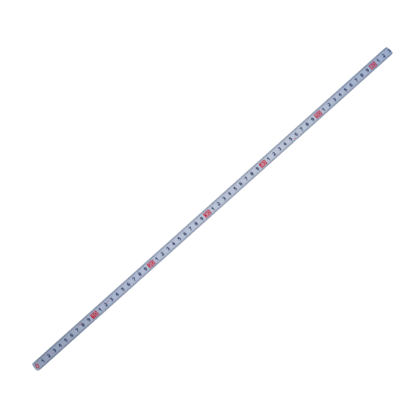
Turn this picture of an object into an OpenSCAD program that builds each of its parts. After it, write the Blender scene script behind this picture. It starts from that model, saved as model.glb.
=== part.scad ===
// Graduated measuring strip for a levelling rod or a bench: a flat spring-steel
// blade, painted on both faces and printed with a centimetre and millimetre scale.
// X runs along the scale with the zero line at x = 0, Y runs across the blade
// towards the top of the numerals, and Z is up with z = 0 on the back face.

/* [Blade] */
// Length of the scale, from the zero line to the cut end
scale_len = 632.4; // [629.5:0.1:634]
// Blank blade before the zero line
zero_margin = 4.8; // [4.5:0.1:10]
// Width of the blade
blade_w = 13; // [12.8:0.1:16]
// Thickness of the bare steel
steel_t = 0.16; // [0.1:0.01:0.5]
// Thickness of the paint on each face
paint_t = 0.05; // [0.02:0.01:0.1]
// Thickness of the printed ink
ink_t = 0.03; // [0.01:0.01:0.05]

/* [Ends] */
// Corner radius at the zero end, upper edge
zero_r_upper = 2.2; // [0.5:0.1:3]
// Corner radius at the zero end, lower edge
zero_r_lower = 4.2; // [0.5:0.1:4.5]
// Radius of the bow of the zero end
zero_bow_r = 22; // [15:1:100]
// Slant of the zero end, in degrees from square, towards the lower edge
zero_slant = 4; // [0:1:10]
// Corner radius at the cut end, upper edge
cut_r_upper = 3; // [0.5:0.1:4]
// Corner radius at the cut end, lower edge
cut_r_lower = 3.4; // [0.3:0.1:4]
// Radius of the slight bow of the cut
cut_bow_r = 40; // [25:1:100]
// Slant of the cut, in degrees from square, towards the lower edge
cut_slant = 8; // [0:1:10]

/* [Graduations] */
// Width of a graduation line
line_w = 0.3; // [0.1:0.01:0.4]
// Clear strip between the blade's edge and the lines
edge_gap = 0.25; // [0:0.05:0.4]
// Length of a millimetre line
mm_line = 1.9; // [1:0.1:2]
// Length of a half-centimetre line
half_cm_line = 2.4; // [1.5:0.1:2.6]
// Length of a centimetre line
cm_line = 3.1; // [2:0.1:3.2]
// Length of a centimetre line beside a red block
ten_cm_line = 2.2; // [1.5:0.1:2.3]

/* [Unit numerals] */
// Height of the numerals 1 to 9
unit_h = 4.9; // [4.6:0.1:5.4]
// Width of the numerals 1 to 9
unit_w = 3.6; // [3:0.1:4]
// Stroke of the numerals 1 to 9
unit_stroke = 1.2; // [0.4:0.05:1.3]
// Distance of the numerals' centres below the middle of the blade
unit_drop = 0.2; // [0:0.05:0.4]

/* [Ten-centimetre blocks] */
// Length of a red block along the scale
block_l = 10.4; // [9.5:0.1:12]
// Height of a red block across the blade
block_h = 7.1; // [6.2:0.1:7.2]
// Corner radius of a red block
block_r = 1; // [0.3:0.1:1.5]
// Distance of a block's centre below the middle of the blade
block_drop = 0.3; // [0:0.05:0.4]
// Height of the open digits in a block
open_h = 5; // [4:0.1:5.4]
// Width of an open digit
open_w = 3.6; // [3:0.1:3.8]
// Stroke of an open digit
open_stroke = 0.6; // [0.5:0.05:1]
// Space between the two open digits
open_space = 0.6; // [0.4:0.1:1]

/* [Zero numeral] */
// Height of the red zero
zero_h = 6.8; // [5:0.1:7]
// Width of the red zero
zero_w = 4.3; // [3:0.1:5]
// Stroke of the red zero
zero_stroke = 1.35; // [0.8:0.05:1.5]
// Lean of the red zero, in degrees clockwise
zero_lean = 9; // [0:1:10]

/* [Marks] */
// Place of the stud-spacing diamond along the scale
diamond_x = 455; // [445:1:455]
// Half the diagonal of the diamond
diamond_r = 1.2; // [0.5:0.1:1.5]
// Height of the diamond's middle above the lower edge of the blade
diamond_up = 2.3; // [1.8:0.1:2.6]
// Width of the small class marks
mark_w = 0.6; // [0.3:0.05:0.8]
// Height of the foot of the upper class marks above the middle of the blade
mark_y = 2.5; // [2.4:0.05:2.6]
// Place of the small dot
dot_x = 5.5; // [5:0.1:7]
// Place of the small wedge between 2 and 3
wedge_x = 25.7; // [24:0.1:26.5]
// Start of the long dash above 7 and 8
long_dash_x = 74.5; // [71:0.1:75]
// Length of the long dash
long_dash_l = 6.2; // [4:0.1:7.5]
// Start of the short dash beside 12
dash_x = 122.4; // [122.3:0.1:124]
// Length of the short dash
dash_l = 4.6; // [2:0.1:5]
// Height of the short dash above the middle of the blade
dash_y = 1; // [0:0.1:2]

/* [Hidden] */
$fn = 64;
// Largest angle between two points on an arc, in degrees: on the print, and on the blade's ends
arc_step = 12;
end_step = 4;
// Angle at which the free end of the curve of a 2, 3, 5 or 6 stops, measured from its bowl's centre
free_end = 155;
// Share of the height of a 6 that is half its bowl
bowl_share = 0.31;

// Heights of the undersides of the layers
steel_z = paint_t;
front_z = steel_z + steel_t;
ink_z = front_z + paint_t;

// Spacing of the scale, and its last whole millimetre
mm = 1;
cm = 10;
last_mm = floor(scale_len - 0.1);
// Millimetres from here on may meet the cut end and are trimmed to it
trim_from = 620;
upper = 1;
lower = -1;

half_w = blade_w / 2;

steel_color = [0.72, 0.74, 0.77];
paint_color = [0.82, 0.86, 0.92];
ink_color = [0.1, 0.14, 0.32];
red_color = [0.8, 0.08, 0.22];

// Points on an arc about c, from angle a0 to angle a1
function arc(c, r, a0, a1, step = arc_step) =
    let (steps = ceil(abs(a1 - a0) / step))
    [for (i = [0:steps]) let (a = a0 + (a1 - a0) * i / steps) c + r * [cos(a), sin(a)]];

// Outline of an end that faces +X with its middle at the origin, anticlockwise:
// a corner of radius r0, a bow whose middle is turned by slant, and a corner of radius r1
function end_outline(bow_r, slant, r0, r1) =
    let (
        c = -bow_r * [cos(slant), sin(slant)],
        a0 = asin((r0 - half_w - c.y) / (bow_r - r0)),
        a1 = asin((half_w - r1 - c.y) / (bow_r - r1))
    )
    concat(
        arc(c + (bow_r - r0) * [cos(a0), sin(a0)], r0, -90, a0, end_step),
        arc(c, bow_r, a0, a1, end_step),
        arc(c + (bow_r - r1) * [cos(a1), sin(a1)], r1, a1, 90, end_step)
    );

// Outline of the blade, anticlockwise from the lower corner of the cut end
function blade_outline() = concat(
    [for (p = end_outline(cut_bow_r, cut_slant, cut_r_lower, cut_r_upper)) [scale_len, 0] + p],
    [for (p = end_outline(zero_bow_r, -zero_slant, zero_r_upper, zero_r_lower)) [-zero_margin, 0] - p]
);

// One layer of the blade, from z up
module blade_layer(z, t) {
    translate([0, 0, z]) linear_extrude(t) polygon(blade_outline());
}

// ---- Graduation lines ----

// One line across the blade at x, running inwards from the upper or lower edge
module line_at(x, side, len) {
    y = side == upper ? half_w - edge_gap - len : edge_gap - half_w;
    translate([x - line_w / 2, y, ink_z]) cube([line_w, len, ink_t]);
}

// Lines at a list of millimetres; those near the cut end are trimmed to it
module lines(at, side, len) {
    late = [for (x = at) if (x >= trim_from) x];
    for (x = at) {
        if (x < trim_from) line_at(x, side, len);
    }
    if (len(late) > 0) intersection() {
        union() {
            for (x = late) line_at(x, side, len);
        }
        blade_layer(ink_z, ink_t);
    }
}

// Lines that the diamond stands on are left out of the lower edge
function clear_of_diamond(x, side) = side == upper || abs(x - diamond_x) > diamond_r + line_w;

module mm_lines(side) {
    at = [for (x = [0:mm:last_mm]) if (x % (cm / 2) != 0 && clear_of_diamond(x, side)) x];
    color(ink_color) lines(at, side, mm_line);
}

module half_cm_lines(side) {
    at = [for (x = [cm / 2:cm:last_mm]) if (clear_of_diamond(x, side)) x];
    color(ink_color) lines(at, side, half_cm_line);
}

module cm_lines(side) {
    color(ink_color) {
        lines([for (x = [0:cm:last_mm]) if (x % (10 * cm) != 0) x], side, cm_line);
        lines([0:10 * cm:last_mm], side, ten_cm_line);
    }
}

// ---- Digits, each centred on the origin: w wide, h high, stroke s, t thick ----

// Flat print with the outline given by its points, and with open holes in it
module plate(points, t, holes = []) {
    difference() {
        linear_extrude(t) polygon(points);
        for (inside = holes) translate([0, 0, -t]) linear_extrude(3 * t) polygon(inside);
    }
}

// Straight stroke between two corners
module bar(p, q, t) {
    translate([p.x, p.y, 0]) cube([q.x - p.x, q.y - p.y, t]);
}

// Outline with round ends of radius r: its end centres are c + e and c - e,
// and the first end runs half a turn from angle a
function pill(c, e, r, a) = concat(arc(c + e, r, a, a + 180), arc(c - e, r, a + 180, a + 360));

module digit_0(w, h, s, t) {
    r = w / 2;
    end = [0, h / 2 - r];
    plate(pill([0, 0], end, r, 0), t, [pill([0, 0], end, r - s, 0)]);
}

module digit_1(w, h, s, t) {
    right = w / 10 + s / 2;
    left = right - s;
    tip = s / 4 - w / 2;
    // The flag slopes down from the top of the stem to a blunt tip
    shoulder = [left - 0.9 * s, h / 2 - s];
    flag_top = h / 2 - 1.3 * s;
    flag_foot = h / 2 - 2.2 * s;
    crotch = h / 2 - 1.9 * s;
    plate([
        [right, h / 2], [left, h / 2], shoulder, [tip, flag_top],
        [tip, flag_foot], [left, crotch], [left, -h / 2], [right, -h / 2]
    ], t);
}

module digit_2(w, h, s, t) {
    r = w / 2;
    c = [0, h / 2 - r];
    // The diagonal is tangent to the bowl and ends in the bottom left corner
    corner = [-r, -h / 2];
    a = atan2(corner.y - c.y, corner.x - c.x) + acos(r / norm(corner - c));
    outer = c + r * [cos(a), sin(a)];
    inner = c + (r - s) * [cos(a), sin(a)];
    slope = (outer.y - corner.y) / (outer.x - corner.x);
    plate(concat(
        arc(c, r, free_end, a),
        [[corner.x + s / slope, s - h / 2], [r, s - h / 2], [r, -h / 2], corner,
         [-r, inner.y - slope * (inner.x + r)]],
        arc(c, r - s, a, free_end)
    ), t);
}

// A 3 and an 8 have two flat-topped bowls of radius r that share the stroke between them
module digit_3(w, h, s, t) {
    r = (h + s) / 4;
    x = w / 2 - r;
    y = h / 2 - r;
    waist = -asin(y / r);
    plate(concat(
        arc([-x, y], r, free_end, 90), arc([x, y], r, 90, waist),
        arc([x, -y], r, -waist, -90), arc([-x, -y], r, -90, -free_end),
        arc([-x, -y], r - s, -free_end, -90), arc([x, -y], r - s, -90, 90),
        [[x - r / 2, -s / 2], [x - r / 2, s / 2]],
        arc([x, y], r - s, -90, 90), arc([-x, y], r - s, 90, free_end)
    ), t);
}

module digit_4(w, h, s, t) {
    // Left side of the upright and underside of the beam
    stem = w / 2 - 1.6 * s;
    beam = 1.1 * s - h / 2;
    // Top and left corner of the open triangle
    peak = h / 2 - 1.2 * s;
    point = 0.8 * s - w / 2;
    plate([
        [stem, -h / 2], [stem + s, -h / 2], [stem + s, beam], [w / 2, beam],
        [w / 2, beam + s], [stem + s, beam + s], [stem + s, h / 2],
        [stem - s / 4, h / 2], [-w / 2, beam + s], [-w / 2, beam], [stem, beam]
    ], t, [[[stem, beam + s], [stem, peak], [point, beam + s]]]);
}

module digit_5(w, h, s, t) {
    r = w / 2;
    c = [0, r - h / 2];
    back = s / 5 - r;
    front = back + s;
    // The inner curve stops at foot_angle, level with the foot of the upright
    foot_angle = 130;
    foot = c.y + (r - s) * sin(foot_angle);
    plate(concat(
        [[back, foot], [back, h / 2], [-back, h / 2], [-back, h / 2 - s], [front, h / 2 - s]],
        arc(c, r, acos(front / r), -free_end),
        arc(c, r - s, -free_end, foot_angle)
    ), t);
}

// The bowl of a 6 takes up the lower part of its height
module digit_6(w, h, s, t) {
    r = w / 2;
    bowl = bowl_share * h;
    x = r - bowl;
    y = bowl - h / 2;
    plate(concat(
        arc([0, h / 2 - r], r, 180 - free_end, 180),
        arc([-x, y], bowl, 180, 270), arc([x, y], bowl, -90, 90),
        [[s - r, y + bowl]],
        arc([0, h / 2 - r], r - s, 180, 180 - free_end)
    ), t, [pill([0, y], [x, 0], bowl - s, -90)]);
}

module digit_7(w, h, s, t) {
    // Left and right corners of the foot, and the inner corner under the bar
    left = -w / 4 - s / 2;
    right = left + 1.1 * s;
    inner = w / 2 - 1.15 * s;
    plate([
        [w / 2, h / 2], [-w / 2, h / 2], [-w / 2, h / 2 - s], [inner, h / 2 - s],
        [left, -h / 2], [right, -h / 2], [w / 2, h / 2 - s]
    ], t);
}

module digit_8(w, h, s, t) {
    r = (h + s) / 4;
    x = w / 2 - r;
    y = h / 2 - r;
    waist = -asin(y / r);
    plate(concat(
        arc([x, y], r, 90, waist), arc([x, -y], r, -waist, -90),
        arc([-x, -y], r, 270, 180 + waist), arc([-x, y], r, 180 - waist, 90)
    ), t, [pill([0, y], [x, 0], r - s, -90), pill([0, -y], [x, 0], r - s, -90)]);
}

module digit_9(w, h, s, t) {
    rotate([0, 0, 180]) digit_6(w, h, s, t);
}

module digit(n, w, h, s, t) {
    if (n == 0) digit_0(w, h, s, t);
    if (n == 1) digit_1(w, h, s, t);
    if (n == 2) digit_2(w, h, s, t);
    if (n == 3) digit_3(w, h, s, t);
    if (n == 4) digit_4(w, h, s, t);
    if (n == 5) digit_5(w, h, s, t);
    if (n == 6) digit_6(w, h, s, t);
    if (n == 7) digit_7(w, h, s, t);
    if (n == 8) digit_8(w, h, s, t);
    if (n == 9) digit_9(w, h, s, t);
}

// ---- Numerals on the blade ----

// Units digit of a centimetre, centred on its line
module unit_numeral(cm_value) {
    translate([cm_value * cm, -unit_drop, ink_z])
        digit(cm_value % 10, unit_w, unit_h, unit_stroke, ink_t);
}

module unit_numerals(first, last) {
    color(ink_color) for (n = [first:last]) unit_numeral(n);
}

// The last numerals, trimmed to the cut end
module last_unit_numerals(first, last) {
    color(ink_color) intersection() {
        union() {
            for (n = [first:last]) unit_numeral(n);
        }
        blade_layer(ink_z, ink_t);
    }
}

// Rounded rectangle of ink, l long and h high
function block_outline(l, h, r) = concat(
    arc([l / 2 - r, h / 2 - r], r, 0, 90),
    arc([r - l / 2, h / 2 - r], r, 90, 180),
    arc([r - l / 2, r - h / 2], r, 180, 270),
    arc([l / 2 - r, r - h / 2], r, 270, 360)
);

// Red block of a whole ten centimetres, with its two digits left open
module red_block(tens) {
    step = (open_w + open_space) / 2;
    color(red_color) translate([tens * 10 * cm, -block_drop, ink_z]) difference() {
        plate(block_outline(block_l, block_h, block_r), ink_t);
        translate([-step, 0, -ink_t]) digit(tens, open_w, open_h, open_stroke, 3 * ink_t);
        translate([step, 0, -ink_t]) digit(0, open_w, open_h, open_stroke, 3 * ink_t);
    }
}

// ---- Sub-parts ----

module steel_blade() {
    color(steel_color) blade_layer(steel_z, steel_t);
}

module front_paint() {
    color(paint_color) blade_layer(front_z, paint_t);
}

module back_paint() {
    color(paint_color) blade_layer(0, paint_t);
}

module numeral_0() {
    color(red_color) translate([0, -block_drop, ink_z]) rotate([0, 0, -zero_lean])
        digit_0(zero_w, zero_h, zero_stroke, ink_t);
}

// Red diamond that marks the stud spacing, at the lower edge
module diamond_455() {
    color(red_color) translate([diamond_x, diamond_up - half_w, ink_z])
        plate([[diamond_r, 0], [0, diamond_r], [-diamond_r, 0], [0, -diamond_r]], ink_t);
}

// Plain dot, wedge and dashes in place of a maker's class printing
module class_marks() {
    color(red_color) translate([0, 0, ink_z]) {
        translate([dot_x, mark_y + mark_w / 2, 0]) cylinder(r = mark_w / 2, h = ink_t);
        translate([wedge_x, 0, 0]) plate([[-mark_w, -mark_w], [mark_w, -mark_w], [0, mark_w]], ink_t);
        bar([long_dash_x, mark_y], [long_dash_x + long_dash_l, mark_y + mark_w], ink_t);
        bar([dash_x, dash_y], [dash_x + dash_l, dash_y + mark_w], ink_t);
    }
}

steel_blade();
front_paint();
back_paint();
mm_lines(upper);  // mm_lines_upper
mm_lines(lower);  // mm_lines_lower
half_cm_lines(upper);  // half_cm_lines_upper
half_cm_lines(lower);  // half_cm_lines_lower
cm_lines(upper);  // cm_lines_upper
cm_lines(lower);  // cm_lines_lower
unit_numerals(1, 9);  // numerals_1_to_9
unit_numerals(11, 19);  // numerals_11_to_19
unit_numerals(21, 29);  // numerals_21_to_29
unit_numerals(31, 39);  // numerals_31_to_39
unit_numerals(41, 49);  // numerals_41_to_49
unit_numerals(51, 59);  // numerals_51_to_59
last_unit_numerals(61, 63);  // numerals_61_to_63
numeral_0();
red_block(1);  // red_block_10
red_block(2);  // red_block_20
red_block(3);  // red_block_30
red_block(4);  // red_block_40
red_block(5);  // red_block_50
red_block(6);  // red_block_60
diamond_455();
class_marks();
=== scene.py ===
"""Looks for the graduated steel strip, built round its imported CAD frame. All lengths are in metres."""

import math

import bmesh
import bpy
from mathutils import Matrix, Vector, noise


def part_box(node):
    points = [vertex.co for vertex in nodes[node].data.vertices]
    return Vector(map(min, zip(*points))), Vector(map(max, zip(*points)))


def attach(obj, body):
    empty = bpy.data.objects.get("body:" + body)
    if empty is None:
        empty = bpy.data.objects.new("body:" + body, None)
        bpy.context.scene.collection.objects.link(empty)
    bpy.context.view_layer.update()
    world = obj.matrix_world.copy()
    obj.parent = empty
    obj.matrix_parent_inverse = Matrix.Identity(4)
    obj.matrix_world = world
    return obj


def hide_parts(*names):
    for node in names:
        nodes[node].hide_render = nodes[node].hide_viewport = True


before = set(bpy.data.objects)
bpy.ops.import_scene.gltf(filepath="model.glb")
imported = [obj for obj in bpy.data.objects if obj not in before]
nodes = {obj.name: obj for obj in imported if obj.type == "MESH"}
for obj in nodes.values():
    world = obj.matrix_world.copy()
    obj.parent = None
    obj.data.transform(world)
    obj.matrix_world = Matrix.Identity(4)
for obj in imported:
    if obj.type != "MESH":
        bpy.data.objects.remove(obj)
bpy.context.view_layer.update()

MM = 0.001

# ---- Camera and light ----

# The camera is almost straight above the strip, which runs up to the right in the picture
LENS_MM = 50
CAMERA_NEAR = 10 * MM
# From the point aimed at to the camera
CAMERA_RANGE = 0.74
# Degrees that the camera stands off the vertical, and the side it stands on, in degrees from +X
CAMERA_TILT = 2.0
CAMERA_TILT_TOWARDS = 165
# The direction that is up in the picture, in degrees from +X
CAMERA_UP = 48.2
# The point aimed at, from the strip's middle
AIM_OFFSET = (-9.1 * MM, 19.8 * MM)

# An even white surround
WORLD_STRENGTH = 1.0
# Soft square lights: name, place from the strip's middle, size, watts
LIGHTS = (
    ("key", (1.3, -1.3, 1.5), 1.6, 9),
    ("fill", (-1.2, 1.2, 1.6), 1.6, 4),
)

# ---- Blade ----

# CAD nodes that finer films stand for, and how the names of the nodes printed in red begin
REPLACED_NODES = ("steel_blade", "front_paint", "back_paint")
RED_NAMES = ("numeral_0", "red_block", "diamond", "class_marks")

# Each outline is walked in even steps. Corners that agree to this many decimals are one point
OUTLINE_STEP = 0.35 * MM
POINT_DECIMALS = 7
# Rounded rims: radius, number of steps in a quarter turn, and width of the flat ring beside them
STEEL_ROUND = 0.03 * MM
PAINT_ROUND = 0.03 * MM
ROUND_STEPS = 4
RIM_SUPPORT = 0.03 * MM
# How far the paint stops short of the steel, along the edges and round the ends
PAINT_INSET = 0.07 * MM
PAINT_INSET_AT_ENDS = 0.02 * MM
# How far the paint's rim wanders either way, and over what length
PAINT_WANDER = 0.03 * MM
WANDER_LENGTH = 4 * MM
# Nicks in the paint's rim: depth, length, the noise above which they start, and how fast they deepen
NICK_DEPTH = 0.13 * MM
NICK_LENGTH = 2.2 * MM
NICK_LEVEL = 0.34
NICK_SHARPNESS = 3
# The rim has neither up to this distance from an end, and has both in full at twice it
END_CLEAR = 3 * MM
# Seeds of the two faces' rims, and what a face's nicks add to its seed
FRONT_SEED = 0
BACK_SEED = 5
NICK_SEED = 10

# ---- Finishes, in sRGB ----

# Painted shade at shares of the strip's length: paint and print are darker towards the ends, standing in for
# light that falls off there
PAINT_SHADE_TONES = (
    (0.02, (0.50, 0.56, 0.65)),
    (0.25, (0.64, 0.69, 0.78)),
    (0.45, (0.69, 0.73, 0.80)),
    (0.72, (0.69, 0.73, 0.79)),
    (0.97, (0.56, 0.63, 0.74)),
)
# Red print, with the same painted shade darker towards both ends
RED_SHADE_TONES = (
    (0.02, (0.62, 0.00, 0.15)),
    (0.30, (0.72, 0.00, 0.21)),
    (0.70, (0.72, 0.00, 0.21)),
    (0.97, (0.62, 0.00, 0.21)),
)
# Dark print, with painted shade darker towards the zero end
DARK_SHADE_TONES = (
    (0.02, (0.00, 0.10, 0.28)),
    (0.30, (0.00, 0.12, 0.32)),
)
STEEL = (0.66, 0.67, 0.69)
# Marks over a colour, broad to fine: size, detail, stretch, the noise where they start and where they
# are full, amount, tone
PAINT_MARKS = (
    (9 * MM, 3, 1.5, 0.35, 0.70, 0.14, (0.74, 0.67, 0.76)),
    (5 * MM, 2, 1.2, 0.45, 0.75, 0.14, (0.58, 0.70, 0.88)),
    (1.2 * MM, 4, 3, 0.45, 0.75, 0.14, (0.52, 0.56, 0.66)),
    (0.28 * MM, 2, 45, 0.60, 0.72, 0.35, (0.48, 0.52, 0.61)),
    (0.60 * MM, 2, 1, 0.72, 0.76, 0.45, (0.36, 0.38, 0.44)),
)
DARK_INK_MARKS = (
    (1.6 * MM, 3, 1, 0.30, 0.75, 0.35, (0.02, 0.19, 0.42)),
    (0.09 * MM, 2, 1, 0.68, 0.76, 0.30, (0.70, 0.74, 0.82)),
)
RED_INK_MARKS = (
    (1.6 * MM, 3, 1, 0.30, 0.75, 0.30, (0.74, 0.03, 0.24)),
    (0.09 * MM, 2, 1, 0.68, 0.76, 0.30, (0.70, 0.74, 0.82)),
)
STEEL_MARKS = (
    (6 * MM, 4, 2, 0.45, 0.75, 0.50, (0.46, 0.44, 0.42)),
)
# Darkening of the paint towards the long edges: distances from the middle line at which it starts and is
# full, amount, tone
EDGE_DARKENING = (2.2 * MM, 5 * MM, 0.16, (0.44, 0.53, 0.56))
# Uneven gloss: size, detail, stretch, the noise at the lowest and at the highest roughness, and those two
PAINT_GLOSS = (4 * MM, 5, 2, 0.3, 0.7, 0.40, 0.62)
INK_GLOSS = (0.4 * MM, 2, 1, 0.3, 0.7, 0.42, 0.58)
STEEL_GLOSS = (0.03 * MM, 3, 80, 0.3, 0.7, 0.26, 0.46)
# Bumps: size, detail, stretch, depth
PAINT_BUMP = (0.6 * MM, 2, 1, 0.012 * MM)
INK_BUMP = (0.15 * MM, 2, 1, 0.003 * MM)
STEEL_BUMP = (0.03 * MM, 3, 80, 0.002 * MM)
# The thin satin varnish over paint and print
VARNISH_SPECULAR = 0.2
VARNISH_WEIGHT = 0.08
VARNISH_ROUGHNESS = 0.3

# The floor is a hair below the strip, in one shade with soft patches of another, as rows of marks
FLOOR_SIZE = 30
FLOOR_GAP = 0.02 * MM
FLOOR_SHADE = (0.970, 0.970, 0.970)
FLOOR_MARKS = (
    (200 * MM, 2, 1, 0.3, 0.7, 1, (0.980, 0.980, 0.980)),
)
FLOOR_ROUGHNESS = 0.9
FLOOR_SPECULAR = 0.1


# ---- Shader helpers ----

def linear(color):
    """An sRGB colour as linear RGBA."""
    return [c / 12.92 if c <= 0.04045 else ((c + 0.055) / 1.055) ** 2.4 for c in color] + [1]


def new_material(name):
    """A material with its tree, its Principled shader and a point in metres."""
    material = bpy.data.materials.new(name)
    material.use_nodes = True
    tree = material.node_tree
    shader = tree.nodes["Principled BSDF"]
    place = tree.nodes.new("ShaderNodeTexCoord").outputs["Object"]
    return material, tree, shader, place


def noise_at(tree, place, size, detail, stretch):
    """Noise from 0 to 1 with features of about size metres, drawn out along the strip by stretch."""
    mapping = tree.nodes.new("ShaderNodeMapping")
    mapping.inputs["Scale"].default_value = (1 / (size * stretch), 1 / size, 1 / size)
    tree.links.new(place, mapping.inputs["Vector"])
    texture = tree.nodes.new("ShaderNodeTexNoise")
    texture.inputs["Scale"].default_value = 1
    texture.inputs["Detail"].default_value = detail
    tree.links.new(mapping.outputs["Vector"], texture.inputs["Vector"])
    return texture.outputs["Fac"]


def remap(tree, value, low, high, to_low=0, to_high=1):
    """value from low..high to to_low..to_high, clamped."""
    node = tree.nodes.new("ShaderNodeMapRange")
    for name, number in zip(("From Min", "From Max", "To Min", "To Max"), (low, high, to_low, to_high)):
        node.inputs[name].default_value = number
    tree.links.new(value, node.inputs["Value"])
    return node.outputs["Result"]


def blend(tree, factor, a, b):
    """Colour a where factor is 0 and b where it is 1. Each is a colour or a socket."""
    node = tree.nodes.new("ShaderNodeMix")
    node.data_type = "RGBA"
    tree.links.new(factor, node.inputs["Factor"])
    for name, color in (("A", a), ("B", b)):
        socket = [s for s in node.inputs if s.name == name and s.type == "RGBA"][0]
        if isinstance(color, bpy.types.NodeSocket):
            tree.links.new(color, socket)
        else:
            socket.default_value = color
    return [s for s in node.outputs if s.type == "RGBA"][0]


def coordinate(tree, place, axis):
    """The coordinate of place along one axis, in metres."""
    split = tree.nodes.new("ShaderNodeSeparateXYZ")
    tree.links.new(place, split.inputs["Vector"])
    return split.outputs[axis]


def painted_shade_along(tree, place, tones, length):
    """Painted shade along the strip: the colour that tones, rows of (share of length, colour), give at each
    point.
    """
    node = tree.nodes.new("ShaderNodeValToRGB")
    elements = node.color_ramp.elements
    while len(elements) < len(tones):
        elements.new(1)
    for element, (share, color) in zip(elements, tones):
        element.position = share
        element.color = linear(color)
    tree.links.new(remap(tree, coordinate(tree, place, "X"), 0, length), node.inputs["Fac"])
    return node.outputs["Color"]


def darker_at_edges(tree, place, ground):
    """The ground colour, darker towards the long edges."""
    start, full, amount, tone = EDGE_DARKENING
    distance = tree.nodes.new("ShaderNodeMath")
    distance.operation = "ABSOLUTE"
    tree.links.new(coordinate(tree, place, "Y"), distance.inputs[0])
    return blend(tree, remap(tree, distance.outputs[0], start, full, 0, amount), ground, linear(tone))


def marked(tree, place, ground, marks):
    """The ground colour with marks over it."""
    for size, detail, stretch, start, end, amount, tone in marks:
        mark = remap(tree, noise_at(tree, place, size, detail, stretch), start, end, 0, amount)
        ground = blend(tree, mark, ground, linear(tone))
    return ground


def add_gloss(tree, shader, place, gloss):
    """Gives shader the uneven gloss of one row."""
    size, detail, stretch, start, end, lowest, highest = gloss
    rough = remap(tree, noise_at(tree, place, size, detail, stretch), start, end, lowest, highest)
    tree.links.new(rough, shader.inputs["Roughness"])


def add_bump(tree, shader, place, bump):
    """Gives shader the bumps of one row."""
    size, detail, stretch, depth = bump
    node = tree.nodes.new("ShaderNodeBump")
    node.inputs["Distance"].default_value = depth
    tree.links.new(noise_at(tree, place, size, detail, stretch), node.inputs["Height"])
    tree.links.new(node.outputs["Normal"], shader.inputs["Normal"])


def add_varnish(shader):
    """Gives shader the satin varnish."""
    shader.inputs["Specular IOR Level"].default_value = VARNISH_SPECULAR
    shader.inputs["Coat Weight"].default_value = VARNISH_WEIGHT
    shader.inputs["Coat Roughness"].default_value = VARNISH_ROUGHNESS


# ---- Materials ----

def paint_material(name, length):
    """Pale enamel: darker towards the ends by painted shade and darker towards the long edges, mottled, with
    orange peel, scratches and specks.
    """
    material, tree, shader, place = new_material(name)
    ground = darker_at_edges(tree, place, painted_shade_along(tree, place, PAINT_SHADE_TONES, length))
    tree.links.new(marked(tree, place, ground, PAINT_MARKS), shader.inputs["Base Color"])
    add_gloss(tree, shader, place, PAINT_GLOSS)
    add_bump(tree, shader, place, PAINT_BUMP)
    add_varnish(shader)
    return material


def ink_material(name, tones, marks, length):
    """Printed ink whose density varies, with painted shade along the strip and fine pinholes that show the
    paint.
    """
    material, tree, shader, place = new_material(name)
    shaded_ink = painted_shade_along(tree, place, tones, length)
    tree.links.new(marked(tree, place, shaded_ink, marks), shader.inputs["Base Color"])
    add_gloss(tree, shader, place, INK_GLOSS)
    add_bump(tree, shader, place, INK_BUMP)
    add_varnish(shader)
    return material


def steel_material(name):
    """Cold-rolled spring steel with lengthwise rolling grain and slight tarnish."""
    material, tree, shader, place = new_material(name)
    tree.links.new(marked(tree, place, linear(STEEL), STEEL_MARKS), shader.inputs["Base Color"])
    shader.inputs["Metallic"].default_value = 1
    add_gloss(tree, shader, place, STEEL_GLOSS)
    add_bump(tree, shader, place, STEEL_BUMP)
    return material


# ---- Blade meshes ----

def outline(node):
    """The blade's outline, counter-clockwise, in even steps: each row is (point, inward direction)."""
    vertices = nodes[node].data.vertices
    corners = {(round(v.co.x, POINT_DECIMALS), round(v.co.y, POINT_DECIMALS)) for v in vertices}
    cx = sum(x for x, _ in corners) / len(corners)
    cy = sum(y for _, y in corners) / len(corners)
    ring = [Vector(c) for c in sorted(corners, key=lambda c: math.atan2(c[1] - cy, c[0] - cx))]
    points = []
    for a, b in zip(ring, ring[1:] + ring[:1]):
        parts = max(1, round((b - a).length / OUTLINE_STEP))
        points += [a.lerp(b, i / parts) for i in range(parts)]
    rows = []
    for i, point in enumerate(points):
        along = (points[(i + 1) % len(points)] - points[i - 1]).normalized()
        rows.append((point, Vector((-along.y, along.x))))
    return rows


def rim_noise(point, length, seed):
    """Noise from -1 to 1 at a point of the outline, with features of about length metres."""
    return noise.noise(Vector((point.x / length, point.y / length, seed)))


def paint_inset(point, seed):
    """How far the paint's rim stands back from the steel's: it wanders and has nicks along the edges."""
    wander = PAINT_WANDER * rim_noise(point, WANDER_LENGTH, seed)
    over = max(0, rim_noise(point, NICK_LENGTH, seed + NICK_SEED) - NICK_LEVEL) / (1 - NICK_LEVEL)
    nick = NICK_DEPTH * min(1, NICK_SHARPNESS * over)
    low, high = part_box("steel_blade")
    from_end = min(point.x - low.x, high.x - point.x)
    share = max(0, min(1, from_end / END_CLEAR - 1))
    return PAINT_INSET_AT_ENDS + share * (PAINT_INSET - PAINT_INSET_AT_ENDS + wander + nick)


def film_profile(low_z, high_z, round_r, round_low, round_high):
    """A film's rim in section, from the bottom up: each row is (distance in from the outline, height)."""
    turns = [math.pi / 2 * i / ROUND_STEPS for i in range(ROUND_STEPS + 1)]
    low_rim = [(0, low_z)]
    high_rim = [(0, high_z)]
    if round_low:
        low_rim = [(round_r + RIM_SUPPORT, low_z)]
        low_rim += [(round_r * (1 - math.sin(a)), low_z + round_r * (1 - math.cos(a))) for a in turns]
    if round_high:
        high_rim = [(round_r * (1 - math.cos(a)), high_z - round_r * (1 - math.sin(a))) for a in turns]
        high_rim += [(round_r + RIM_SUPPORT, high_z)]
    return low_rim + high_rim


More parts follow.
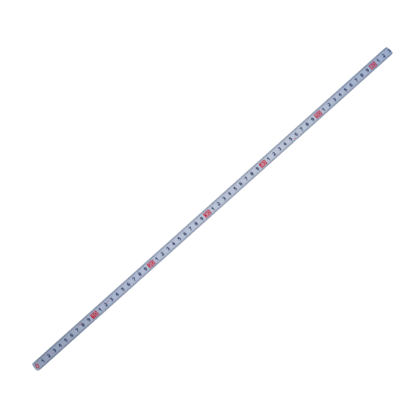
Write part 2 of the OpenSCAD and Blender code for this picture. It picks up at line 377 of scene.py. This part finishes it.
def film_mesh(name, rows, depths, profile):
    """A closed mesh: a ring round the outline for each row of the profile, quads between, two flat faces."""
    mesh = bmesh.new()
    rings = []
    for extra, z in profile:
        ring = [mesh.verts.new((*(p + inward * (d + extra)), z)) for (p, inward), d in zip(rows, depths)]
        rings.append(ring)
    for lower, upper in zip(rings, rings[1:]):
        for i in range(len(rows)):
            j = (i + 1) % len(rows)
            mesh.faces.new((lower[i], lower[j], upper[j], upper[i]))
    mesh.faces.new(rings[-1])
    mesh.faces.new(list(reversed(rings[0])))
    bmesh.ops.recalc_face_normals(mesh, faces=mesh.faces)
    data = bpy.data.meshes.new(name)
    mesh.to_mesh(data)
    mesh.free()
    data.shade_smooth()
    return data


def film(name, node, round_r, round_low, round_high, material, inset=lambda point: 0):
    """A film in a CAD node's place, with rounded rims, set in from the node's outline by inset(point)."""
    low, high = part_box(node)
    rows = outline(node)
    depths = [inset(point) for point, _ in rows]
    profile = film_profile(low.z, high.z, round_r, round_low, round_high)
    data = film_mesh(name, rows, depths, profile)
    data.materials.append(material)
    piece = bpy.data.objects.new(name, data)
    bpy.context.scene.collection.objects.link(piece)
    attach(piece, "root")
    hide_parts(node)


# ---- Print ----

def ink_nodes(dark, red):
    """Gives every printed CAD node its ink."""
    for name, node in nodes.items():
        if name in REPLACED_NODES:
            continue
        is_red = name.startswith(RED_NAMES)
        node.data.materials.clear()
        node.data.materials.append(red if is_red else dark)


# ---- Stage ----

def add_floor():
    """A plain pale floor just under the strip."""
    low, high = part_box("back_paint")
    middle = (low + high) / 2
    bpy.ops.mesh.primitive_plane_add(size=FLOOR_SIZE, location=(middle.x, middle.y, low.z - FLOOR_GAP))
    floor = bpy.context.object
    material, tree, shader, place = new_material("floor_white")
    tree.links.new(marked(tree, place, linear(FLOOR_SHADE), FLOOR_MARKS), shader.inputs["Base Color"])
    shader.inputs["Roughness"].default_value = FLOOR_ROUGHNESS
    shader.inputs["Specular IOR Level"].default_value = FLOOR_SPECULAR
    floor.data.materials.append(material)


def add_light(name, place, aim, size, power):
    """A soft square light at place that faces aim."""
    data = bpy.data.lights.new(name, "AREA")
    data.size = size
    data.energy = power
    light = bpy.data.objects.new(name, data)
    light.location = place
    light.rotation_euler = (Vector(aim) - Vector(place)).to_track_quat("-Z", "Y").to_euler()
    bpy.context.scene.collection.objects.link(light)


def add_camera(middle):
    """The camera looks down at a point beside the strip's middle."""
    tilt, towards, up_angle = (math.radians(a) for a in (CAMERA_TILT, CAMERA_TILT_TOWARDS, CAMERA_UP))
    back = Vector((math.sin(tilt) * math.cos(towards), math.sin(tilt) * math.sin(towards), math.cos(tilt)))
    right = Vector((math.cos(up_angle), math.sin(up_angle), 0)).cross(back).normalized()
    aim = middle + Vector((*AIM_OFFSET, 0))
    data = bpy.data.cameras.new("camera")
    data.lens = LENS_MM
    data.clip_start = CAMERA_NEAR
    camera = bpy.data.objects.new("camera", data)
    axes = Matrix((right, back.cross(right), back)).transposed()
    camera.matrix_world = Matrix.Translation(aim + CAMERA_RANGE * back) @ axes.to_4x4()
    bpy.context.scene.collection.objects.link(camera)
    bpy.context.scene.camera = camera


def add_world(strength):
    """An even white surround."""
    world = bpy.data.worlds.new("surround")
    world.use_nodes = True
    background = world.node_tree.nodes["Background"]
    background.inputs["Color"].default_value = (1, 1, 1, 1)
    background.inputs["Strength"].default_value = strength
    bpy.context.scene.world = world


# ---- The strip ----

blade_low, blade_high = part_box("steel_blade")
blade_middle = (blade_low + blade_high) / 2
scale_length = blade_high.x
pale_paint = paint_material("pale_paint", scale_length)
spring_steel = steel_material("spring_steel")
dark_ink = ink_material("dark_ink", DARK_SHADE_TONES, DARK_INK_MARKS, scale_length)
red_ink = ink_material("red_ink", RED_SHADE_TONES, RED_INK_MARKS, scale_length)

film("steel_core", "steel_blade", STEEL_ROUND, True, True, spring_steel)
film("front_enamel", "front_paint", PAINT_ROUND, False, True, pale_paint,
     lambda point: paint_inset(point, FRONT_SEED))
film("back_enamel", "back_paint", PAINT_ROUND, True, False, pale_paint,
     lambda point: paint_inset(point, BACK_SEED))
ink_nodes(dark_ink, red_ink)

add_floor()
add_world(WORLD_STRENGTH)
for name, offset, size, power in LIGHTS:
    add_light(name, blade_middle + Vector(offset), blade_middle, size, power)
add_camera(blade_middle)
# Colours come out as the sRGB values given above
bpy.context.scene.view_settings.view_transform = "Standard"
